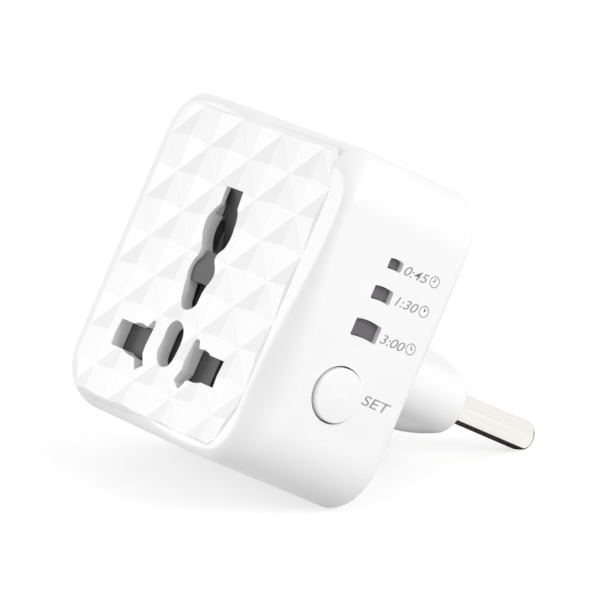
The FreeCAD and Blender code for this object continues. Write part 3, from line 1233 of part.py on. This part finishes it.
node("resistors", group("resistors", *resistors))

# Build, test every piece and write one file per piece

doc.recompute()
for made in doc.Objects:
    if "Invalid" in made.State or "Error" in made.State:
        raise RuntimeError(f"{made.Name} failed: {made.State}")
os.makedirs("parts", exist_ok=True)
for made in nodes:
    if made.Shape.isNull() or not made.Shape.isValid():
        raise RuntimeError(f"{made.Label} has no valid shape")
    print(f"{made.Label}: {len(made.Shape.Solids)} solids, {made.Shape.Volume:.1f} mm3")
for made in nodes:
    made.Shape.exportStep(f"parts/{made.Label}.step")
print(len(nodes), "pieces")
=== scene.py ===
import math

import bmesh
import bpy
from mathutils import Euler, Matrix, Vector


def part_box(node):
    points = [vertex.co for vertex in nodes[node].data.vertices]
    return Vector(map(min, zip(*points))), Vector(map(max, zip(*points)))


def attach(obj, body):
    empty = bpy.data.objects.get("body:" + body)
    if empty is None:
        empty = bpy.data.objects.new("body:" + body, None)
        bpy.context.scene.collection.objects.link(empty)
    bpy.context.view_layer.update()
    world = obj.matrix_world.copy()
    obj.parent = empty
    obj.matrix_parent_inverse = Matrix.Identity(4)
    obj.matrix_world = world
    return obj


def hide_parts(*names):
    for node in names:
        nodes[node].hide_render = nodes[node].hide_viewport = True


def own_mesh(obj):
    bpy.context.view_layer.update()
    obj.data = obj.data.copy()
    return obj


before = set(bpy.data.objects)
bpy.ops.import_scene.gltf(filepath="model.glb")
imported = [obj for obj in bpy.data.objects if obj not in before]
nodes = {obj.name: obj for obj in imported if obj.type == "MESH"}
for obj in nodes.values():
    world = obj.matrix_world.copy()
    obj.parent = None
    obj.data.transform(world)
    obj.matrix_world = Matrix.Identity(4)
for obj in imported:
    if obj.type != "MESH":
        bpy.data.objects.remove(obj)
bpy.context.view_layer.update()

# The camera: a long lens at the height of the socket, well round towards the side with the button.
# It is turned about its own axis because the timer leans back on its plug pins.
camera_data = bpy.data.cameras.new("camera")
camera_data.sensor_width = 36
camera_data.lens = 306.77
camera_data.clip_start = 0.01
camera_data.clip_end = 20
camera = bpy.data.objects.new("camera", camera_data)
camera.location = (0.63048, -0.46851, -0.00757)
camera.rotation_euler = Euler([math.radians(turn) for turn in (91.0642, -22.9863, 54.3681)])
bpy.context.scene.collection.objects.link(camera)
bpy.context.scene.camera = camera

# The case: front shell, rear cover with the plug boss, and the button, all of one white
# thermoplastic. Injection moulded in polished steel, so it has a soft sheen, a faint orange peel
# and rounded arrises.


def moulded_plastic(name, light, dark, roughness, grain, depth, arris=0.00012):
    """Plastic with a faint cloudiness, an uneven sheen and a shallow orange peel."""
    cloud_scale = 90
    duller_by, shinier_by = 0.03, 0.02
    peel_strength = 0.35
    plastic_ior = 1.49
    material = bpy.data.materials.new(name)
    material.use_nodes = True
    tree = material.node_tree
    shader = tree.nodes["Principled BSDF"]
    place = tree.nodes.new("ShaderNodeTexCoord")
    cloud = tree.nodes.new("ShaderNodeTexNoise")
    cloud.inputs["Scale"].default_value = cloud_scale
    cloud.inputs["Detail"].default_value = 3
    tint = tree.nodes.new("ShaderNodeValToRGB")
    tint.color_ramp.elements[0].position = 0.3
    tint.color_ramp.elements[0].color = (*dark, 1)
    tint.color_ramp.elements[1].position = 0.7
    tint.color_ramp.elements[1].color = (*light, 1)
    peel = tree.nodes.new("ShaderNodeTexNoise")
    peel.inputs["Scale"].default_value = grain
    peel.inputs["Detail"].default_value = 2
    sheen = tree.nodes.new("ShaderNodeMapRange")
    sheen.inputs["To Min"].default_value = roughness - shinier_by
    sheen.inputs["To Max"].default_value = roughness + duller_by
    arris_round = tree.nodes.new("ShaderNodeBevel")
    arris_round.samples = 6
    arris_round.inputs["Radius"].default_value = arris
    bump = tree.nodes.new("ShaderNodeBump")
    bump.inputs["Strength"].default_value = peel_strength
    bump.inputs["Distance"].default_value = depth
    tree.links.new(place.outputs["Object"], cloud.inputs["Vector"])
    tree.links.new(place.outputs["Object"], peel.inputs["Vector"])
    tree.links.new(cloud.outputs["Fac"], tint.inputs["Fac"])
    tree.links.new(tint.outputs["Color"], shader.inputs["Base Color"])
    tree.links.new(peel.outputs["Fac"], sheen.inputs["Value"])
    tree.links.new(sheen.outputs["Result"], shader.inputs["Roughness"])
    tree.links.new(peel.outputs["Fac"], bump.inputs["Height"])
    tree.links.new(arris_round.outputs["Normal"], bump.inputs["Normal"])
    tree.links.new(bump.outputs["Normal"], shader.inputs["Normal"])
    shader.inputs["IOR"].default_value = plastic_ior
    return material


def finish_nodes(material, *names):
    """The nodes of the model keep their shape and take this finish."""
    for name in names:
        for slot in nodes[name].material_slots:
            slot.material = material


case_plastic = moulded_plastic("case_plastic", (0.93, 0.93, 0.93), (0.91, 0.91, 0.912),
                               roughness=0.28, grain=5000, depth=0.000003)
finish_nodes(case_plastic, "front_shell", "rear_cover", "set_button")

# The indicator windows: smoked acrylic inserts pressed in from inside, set back from the side face.
# They are nearly opaque until the lamp behind one of them lights.
smoked_acrylic = moulded_plastic("smoked_acrylic", (0.14, 0.132, 0.142), (0.12, 0.114, 0.122),
                                 roughness=0.3, grain=2500, depth=0.00001)
finish_nodes(smoked_acrylic, "lens_045", "lens_130", "lens_300")

# The safety shutter and the earth flap: dark grey acetal mouldings that slide and swing behind the
# face. Acetal comes from the mould with a dull, slightly waxy skin.
shutter_acetal = moulded_plastic("shutter_acetal", (0.085, 0.085, 0.088), (0.070, 0.070, 0.073),
                                 roughness=0.55, grain=3000, depth=0.00001)
finish_nodes(shutter_acetal, "shutter", "earth_flap")

# The contact carrier, screwed in behind the face, and the clamp plate that retains the pins.
# Both are moulded in grey glass-filled nylon, matt and grainy.
carrier_nylon = moulded_plastic("carrier_nylon", (0.33, 0.33, 0.335), (0.28, 0.28, 0.285),
                                roughness=0.62, grain=4000, depth=0.00003)
finish_nodes(carrier_nylon, "contact_carrier", "pin_retainer")

# Small moulded parts on the boards: black epoxy and nylon, matt from their moulds.
# Connector, push switch, relay base, rectifier and controller chip all share it.
black_moulding = moulded_plastic("black_moulding", (0.05, 0.05, 0.053), (0.035, 0.035, 0.038),
                                 roughness=0.62, grain=4000, depth=0.00003)
finish_nodes(black_moulding, "board_header", "switch_body", "switch_plunger", "relay_base",
             "bridge_rectifier", "controller_chip")

# The plug pins: drawn brass bar with a bright nickel plating, its tip rounded on a lathe.
# The fine lines of the drawing die still show under the plating, along the pin.


def plated_metal(name, light, dark, roughness, stretch, depth):
    """Metal with fine tool marks; stretch is the marks' scale along X, Y and Z."""
    duller_by, shinier_by = 0.06, 0.04
    mark_strength = 0.3
    material = bpy.data.materials.new(name)
    material.use_nodes = True
    tree = material.node_tree
    shader = tree.nodes["Principled BSDF"]
    shader.inputs["Metallic"].default_value = 1.0
    place = tree.nodes.new("ShaderNodeTexCoord")
    lay = tree.nodes.new("ShaderNodeMapping")
    lay.inputs["Scale"].default_value = stretch
    marks = tree.nodes.new("ShaderNodeTexNoise")
    marks.inputs["Scale"].default_value = 1
    marks.inputs["Detail"].default_value = 4
    tint = tree.nodes.new("ShaderNodeValToRGB")
    tint.color_ramp.elements[0].position = 0.25
    tint.color_ramp.elements[0].color = (*dark, 1)
    tint.color_ramp.elements[1].position = 0.75
    tint.color_ramp.elements[1].color = (*light, 1)
    sheen = tree.nodes.new("ShaderNodeMapRange")
    sheen.inputs["To Min"].default_value = roughness - shinier_by
    sheen.inputs["To Max"].default_value = roughness + duller_by
    bump = tree.nodes.new("ShaderNodeBump")
    bump.inputs["Strength"].default_value = mark_strength
    bump.inputs["Distance"].default_value = depth
    tree.links.new(place.outputs["Object"], lay.inputs["Vector"])
    tree.links.new(lay.outputs["Vector"], marks.inputs["Vector"])
    tree.links.new(marks.outputs["Fac"], tint.inputs["Fac"])
    tree.links.new(tint.outputs["Color"], shader.inputs["Base Color"])
    tree.links.new(marks.outputs["Fac"], sheen.inputs["Value"])
    tree.links.new(sheen.outputs["Result"], shader.inputs["Roughness"])
    tree.links.new(marks.outputs["Fac"], bump.inputs["Height"])
    tree.links.new(bump.outputs["Normal"], shader.inputs["Normal"])
    return material


pin_nickel = plated_metal("pin_nickel", (0.93, 0.905, 0.86), (0.85, 0.82, 0.77),
                          roughness=0.12, stretch=(2500, 60, 2500), depth=0.000002)
finish_nodes(pin_nickel, "pin_left", "pin_right")

# The socket contacts and the relay's contact leaf: stamped and folded from thin brass strip.
# The lines of the rolling mill run along the strip.
contact_brass = plated_metal("contact_brass", (0.80, 0.60, 0.28), (0.70, 0.50, 0.21),
                             roughness=0.28, stretch=(4000, 300, 300), depth=0.000004)
finish_nodes(contact_brass, "live_contact", "neutral_contact", "relay_contacts")

# Screws, the flap's axle, the relay's iron and the thermal fuse's can: plated and drawn steel.
# It has a greyer, duller shine than the nickel on the pins.
zinc_steel = plated_metal("zinc_steel", (0.62, 0.62, 0.63), (0.50, 0.50, 0.515),
                          roughness=0.34, stretch=(900, 900, 900), depth=0.000006)
finish_nodes(zinc_steel, "case_screws", "carrier_screws", "retainer_screw", "flap_axle",
             "relay_core", "relay_yoke", "relay_armature", "thermal_fuse")

# The two springs that close the shutter: drawn steel wire, wound between the carrier's seats and
# the shutter. In the timer they shorten towards their seats on the carrier as the shutter rises;
# here a welded copy is fixed to the case and keeps its length.
weld_distance = 0.000001
coils = bmesh.new()
coils.from_mesh(nodes["shutter_springs"].data)
bmesh.ops.transform(coils, matrix=nodes["shutter_springs"].matrix_world, verts=coils.verts)
bmesh.ops.remove_doubles(coils, verts=coils.verts, dist=weld_distance)
coils_mesh = bpy.data.meshes.new("closing_springs")
coils.to_mesh(coils_mesh)
coils.free()
coils_mesh.materials.clear()
coils_mesh.materials.append(zinc_steel)
closing_springs = bpy.data.objects.new("closing_springs", coils_mesh)
bpy.context.scene.collection.objects.link(closing_springs)
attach(closing_springs, "case_body")
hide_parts("shutter_springs")
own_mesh(closing_springs)

# Solder cones on the pin tails, run in by hand where the tails come through the power board.
# Bright tin alloy, slightly frosted where it cooled.
solder_tin = plated_metal("solder_tin", (0.74, 0.74, 0.76), (0.62, 0.62, 0.65),
                          roughness=0.3, stretch=(1500, 1500, 1500), depth=0.00001)
finish_nodes(solder_tin, "pin_solder")

# Two circuit boards: glass-filled laminate under a green solder mask.
# The mask is printed on wet, so its colour is a little cloudy and its skin a little uneven.
board_mask = moulded_plastic("board_mask", (0.03, 0.21, 0.095), (0.022, 0.165, 0.075),
                             roughness=0.36, grain=2600, depth=0.00002)
finish_nodes(board_mask, "main_board", "side_board")

# The relay: a blue moulded cover over its base, and a coil wound round the iron core.
# The coil is enamelled copper wire, whose turns show as fine lines.
relay_blue = moulded_plastic("relay_blue", (0.05, 0.15, 0.40), (0.04, 0.125, 0.35),
                             roughness=0.4, grain=1800, depth=0.00001)
finish_nodes(relay_blue, "relay_case")
coil_copper = plated_metal("coil_copper", (0.70, 0.34, 0.16), (0.52, 0.22, 0.10),
                           roughness=0.36, stretch=(200, 200, 7000), depth=0.00003)
finish_nodes(coil_copper, "relay_coil")

# Supply parts on the power board: a film capacitor in a yellow box, two electrolytic cans in dark
# sleeves, a varistor disc dipped in blue epoxy, and resistors in a beige coat.
film_yellow = moulded_plastic("film_yellow", (0.72, 0.56, 0.08), (0.66, 0.50, 0.06),
                              roughness=0.45, grain=1500, depth=0.00003)
finish_nodes(film_yellow, "film_capacitor")
can_sleeve = moulded_plastic("can_sleeve", (0.055, 0.06, 0.10), (0.045, 0.05, 0.085),
                             roughness=0.3, grain=1200, depth=0.00001)
finish_nodes(can_sleeve, "electrolytic_large", "electrolytic_small")
disc_coat = moulded_plastic("disc_coat", (0.06, 0.19, 0.50), (0.05, 0.16, 0.43),
                            roughness=0.42, grain=900, depth=0.00006)
finish_nodes(disc_coat, "varistor")
resistor_coat = moulded_plastic("resistor_coat", (0.62, 0.52, 0.37), (0.56, 0.46, 0.32),
                                roughness=0.5, grain=1800, depth=0.00003)
finish_nodes(resistor_coat, "resistors")

# Three indicator lamps, soldered to the side board behind the windows.
# They are cast in clear diffused resin with a milky body.
lamp_resin = moulded_plastic("lamp_resin", (0.80, 0.80, 0.74), (0.74, 0.74, 0.68),
                             roughness=0.22, grain=1500, depth=0.00001)
finish_nodes(lamp_resin, "led_045", "led_130", "led_300")

# The print on the side: three running times with a small clock face after each, and SET beside the
# button. Pad printed in grey ink, a film too thin to feel, in slightly slanted figures.
side_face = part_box("front_shell")[1].x
ink_film = 0.00001
onto_side_face = Matrix(((0, 0, 1, 0), (1, 0, 0, 0), (0, 1, 0, 0), (0, 0, 0, 1)))
ink = bpy.data.materials.new("grey_ink")
ink.use_nodes = True
ink_shader = ink.node_tree.nodes["Principled BSDF"]
ink_shader.inputs["Roughness"].default_value = 0.5
ink_place = ink.node_tree.nodes.new("ShaderNodeTexCoord")
ink_cloud = ink.node_tree.nodes.new("ShaderNodeTexNoise")
ink_cloud.inputs["Scale"].default_value = 5000
ink_tint = ink.node_tree.nodes.new("ShaderNodeValToRGB")
ink_tint.color_ramp.elements[0].color = (0.27, 0.27, 0.285, 1)
ink_tint.color_ramp.elements[1].color = (0.35, 0.35, 0.365, 1)
ink.node_tree.links.new(ink_place.outputs["Object"], ink_cloud.inputs["Vector"])
ink.node_tree.links.new(ink_cloud.outputs["Fac"], ink_tint.inputs["Fac"])
ink.node_tree.links.new(ink_tint.outputs["Color"], ink_shader.inputs["Base Color"])


def printed_word(name, words, left, right, middle, height, slant):
    """Words on the side face between two Y positions, centred on a height."""
    curve = bpy.data.curves.new(name, "FONT")
    curve.body = words
    curve.shear = slant
    curve.extrude = 0.5
    curve.offset = 0.003
    raw = bpy.data.objects.new(name + "_raw", curve)
    bpy.context.scene.collection.objects.link(raw)
    bpy.context.view_layer.update()
    solid_word = raw.evaluated_get(bpy.context.evaluated_depsgraph_get())
    mesh = bpy.data.meshes.new_from_object(solid_word)
    bpy.data.objects.remove(raw)
    xs = [vertex.co.x for vertex in mesh.vertices]
    ys = [vertex.co.y for vertex in mesh.vertices]
    wide, tall = max(xs) - min(xs), max(ys) - min(ys)
    middle_of_word = Vector((-(max(xs) + min(xs)) / 2, -(max(ys) + min(ys)) / 2, 0))
    centre = Matrix.Translation(middle_of_word)
    size = Matrix.Diagonal(Vector(((right - left) / wide, height / tall, 2 * ink_film, 1)))
    there = Matrix.Translation(Vector((side_face, (left + right) / 2, middle)))
    mesh.transform(there @ onto_side_face @ size @ centre)
    mesh.materials.clear()
    mesh.materials.append(ink)
    word = bpy.data.objects.new(name, mesh)
    bpy.context.scene.collection.objects.link(word)
    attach(word, "case_body")


def printed_clock(name, y, z, radius, hour_turn):
    """A ring with two hands, flat on the side face."""
    ring_wide = radius * 0.16
    hand_wide = ring_wide * 0.9
    minute_long, hour_long = radius * 0.62, radius * 0.45
    shape = bmesh.new()
    bmesh.ops.create_circle(shape, segments=40, radius=radius)
    bmesh.ops.create_circle(shape, segments=40, radius=radius - ring_wide)
    bmesh.ops.bridge_loops(shape, edges=shape.edges[:])
    for hand_turn, hand_long in ((0.0, minute_long), (hour_turn, hour_long)):
        hand = bmesh.ops.create_grid(shape, x_segments=1, y_segments=1, size=0.5)["verts"]
        bmesh.ops.scale(shape, vec=Vector((hand_wide, hand_long, 1)), verts=hand)
        bmesh.ops.translate(shape, vec=Vector((0, hand_long / 2, 0)), verts=hand)
        clockwise = Matrix.Rotation(-math.radians(hand_turn), 3, "Z")
        bmesh.ops.rotate(shape, cent=Vector(), matrix=clockwise, verts=hand)
    bmesh.ops.recalc_face_normals(shape, faces=shape.faces)
    bmesh.ops.solidify(shape, geom=shape.faces[:], thickness=2 * ink_film)
    bmesh.ops.transform(shape, matrix=onto_side_face, verts=shape.verts)
    bmesh.ops.translate(shape, vec=Vector((side_face, y, z)), verts=shape.verts)
    bmesh.ops.recalc_face_normals(shape, faces=shape.faces)
    mesh = bpy.data.meshes.new(name)
    shape.to_mesh(mesh)
    shape.free()
    mesh.materials.append(ink)
    clock = bpy.data.objects.new(name, mesh)
    bpy.context.scene.collection.objects.link(clock)
    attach(clock, "case_body")


time_height, time_slant = 0.00145, 0.25
clock_radius = 0.00090
printed_word("print_045", "0:45", -0.0277, -0.0231, 0.01525, time_height, time_slant)
printed_clock("clock_045", -0.02187, 0.01537, clock_radius, 270)
printed_word("print_130", "1:30", -0.0270, -0.0228, 0.01065, time_height, time_slant)
printed_clock("clock_130", -0.02157, 0.01077, clock_radius, 45)
printed_word("print_300", "3:00", -0.0269, -0.0223, 0.00470, time_height, time_slant)
printed_clock("clock_300", -0.02114, 0.00493, clock_radius, 90)
printed_word("print_set", "SET", -0.0256, -0.0203, -0.00457, 0.00155, 0.2)

# The stage: a pale table under the leaning timer. The timer rests on its lower rear edge and on the
# tips of its pins, so the table slopes in the timer's own axes. Seen directly or in a reflection the
# table glows a little, as a lit studio sweep does; to all other light it is plain card.
lean = math.radians(27.38)
table_up = Vector((0, -math.sin(lean), math.cos(lean)))
tip_contact = Vector((0, 0.018, -0.0014))
clearance = 0.001
table_point = tip_contact - table_up * clearance
table_slope = Matrix.Rotation(lean, 3, "X")
table_shape = bmesh.new()
bmesh.ops.create_grid(table_shape, x_segments=1, y_segments=1, size=3)
bmesh.ops.rotate(table_shape, cent=Vector(), matrix=table_slope, verts=table_shape.verts)
bmesh.ops.translate(table_shape, vec=table_point, verts=table_shape.verts)
table_mesh = bpy.data.meshes.new("table")
table_shape.to_mesh(table_mesh)
table_shape.free()
table = bpy.data.objects.new("table", table_mesh)
bpy.context.scene.collection.objects.link(table)


def seen_directly(tree):
    """1 for camera, mirror and clear-glass rays, 0 for the rays that light the object."""
    path = tree.nodes.new("ShaderNodeLightPath")
    reflected = tree.nodes.new("ShaderNodeMath")
    reflected.operation = "MAXIMUM"
    seen = tree.nodes.new("ShaderNodeMath")
    seen.operation = "MAXIMUM"
    tree.links.new(path.outputs["Is Glossy Ray"], reflected.inputs[0])
    tree.links.new(path.outputs["Is Transmission Ray"], reflected.inputs[1])
    tree.links.new(reflected.outputs["Value"], seen.inputs[0])
    tree.links.new(path.outputs["Is Camera Ray"], seen.inputs[1])
    return seen.outputs["Value"]


table_finish = bpy.data.materials.new("table_finish")
table_finish.use_nodes = True
tree = table_finish.node_tree
tree.nodes.remove(tree.nodes["Principled BSDF"])
card = tree.nodes.new("ShaderNodeBsdfDiffuse")
card.inputs["Color"].default_value = (0.66, 0.66, 0.66, 1)
shade = tree.nodes.new("ShaderNodeBsdfDiffuse")
shade.inputs["Color"].default_value = (0.44, 0.44, 0.44, 1)
glow = tree.nodes.new("ShaderNodeEmission")
glow.inputs["Strength"].default_value = 0.66
sweep = tree.nodes.new("ShaderNodeAddShader")
lit = tree.nodes.new("ShaderNodeMixShader")
clear = tree.nodes.new("ShaderNodeBsdfTransparent")
facing = tree.nodes.new("ShaderNodeNewGeometry")
pick = tree.nodes.new("ShaderNodeMixShader")
tree.links.new(shade.outputs["BSDF"], sweep.inputs[0])
tree.links.new(glow.outputs["Emission"], sweep.inputs[1])
tree.links.new(seen_directly(tree), lit.inputs["Fac"])
tree.links.new(card.outputs["BSDF"], lit.inputs[1])
tree.links.new(sweep.outputs["Shader"], lit.inputs[2])
tree.links.new(facing.outputs["Backfacing"], pick.inputs["Fac"])
tree.links.new(lit.outputs["Shader"], pick.inputs[1])
tree.links.new(clear.outputs["BSDF"], pick.inputs[2])
tree.links.new(pick.outputs["Shader"], tree.nodes["Material Output"].inputs["Surface"])
table_mesh.materials.append(table_finish)

# A dark card on the table, behind and below the pins, that only reflections see.
# It gives the bright plating its dark edges, as a flag does in a product studio.
card_wide, card_deep = 0.0712, 0.066
card_centre = Vector((-0.0244, 0.0165, 0.0003))
card_shape = bmesh.new()
bmesh.ops.create_grid(card_shape, x_segments=1, y_segments=1, size=0.5)
bmesh.ops.scale(card_shape, vec=Vector((card_wide, card_deep, 1)), verts=card_shape.verts)
bmesh.ops.translate(card_shape, vec=card_centre, verts=card_shape.verts)
bmesh.ops.rotate(card_shape, cent=Vector(), matrix=table_slope, verts=card_shape.verts)
bmesh.ops.translate(card_shape, vec=table_point, verts=card_shape.verts)
card_mesh = bpy.data.meshes.new("dark_card")
card_shape.to_mesh(card_mesh)
card_shape.free()
dark_card = bpy.data.objects.new("dark_card", card_mesh)
bpy.context.scene.collection.objects.link(dark_card)
dark_card.visible_camera = False
dark_card.visible_diffuse = False
dark_card.visible_shadow = False
card_finish = bpy.data.materials.new("card_finish")
card_finish.use_nodes = True
card_shader = card_finish.node_tree.nodes["Principled BSDF"]
card_shader.inputs["Base Color"].default_value = (0.02, 0.02, 0.021, 1)
card_shader.inputs["Roughness"].default_value = 0.8
card_mesh.materials.append(card_finish)

# The room round the table: white where it is seen directly or in a reflection.
# As a light it is a little dimmer, so that the white case keeps its shading.
world = bpy.data.worlds.new("studio")
bpy.context.scene.world = world
world.use_nodes = True
tree = world.node_tree
room = tree.nodes["Background"]
room.inputs["Color"].default_value = (1, 1, 1, 1)
room.inputs["Strength"].default_value = 0.67
white = tree.nodes.new("ShaderNodeBackground")
white.inputs["Color"].default_value = (1, 1, 1, 1)
white.inputs["Strength"].default_value = 1.0
choose = tree.nodes.new("ShaderNodeMixShader")
tree.links.new(seen_directly(tree), choose.inputs["Fac"])
tree.links.new(room.outputs["Background"], choose.inputs[1])
tree.links.new(white.outputs["Background"], choose.inputs[2])
tree.links.new(choose.outputs["Shader"], tree.nodes["World Output"].inputs["Surface"])

# Two square soft lamps: one in front and to the left, turned on its corner, that splits the light
# and dark sides of the relief's facets, and one high on the button's side.


def soft_lamp(name, place, power, size, roll=0.0):
    """A square soft lamp aimed at the middle of the timer, rolled about its own axis."""
    timer_middle = Vector((0, -0.025, 0))
    data = bpy.data.lights.new(name, "AREA")
    data.energy = power
    data.size = size
    lamp = bpy.data.objects.new(name, data)
    aim = (Vector(place) - timer_middle).to_track_quat("Z", "Y").to_matrix()
    lamp.location = place
    lamp.rotation_euler = (aim @ Matrix.Rotation(math.radians(roll), 3, "Z")).to_euler()
    bpy.context.scene.collection.objects.link(lamp)


soft_lamp("front_lamp", (-0.715, -0.716, -0.105), power=3.3, size=0.54, roll=45)
soft_lamp("side_lamp", (0.843, -0.029, 0.539), power=4.2, size=0.4)

bpy.context.scene.view_settings.view_transform = "Standard"
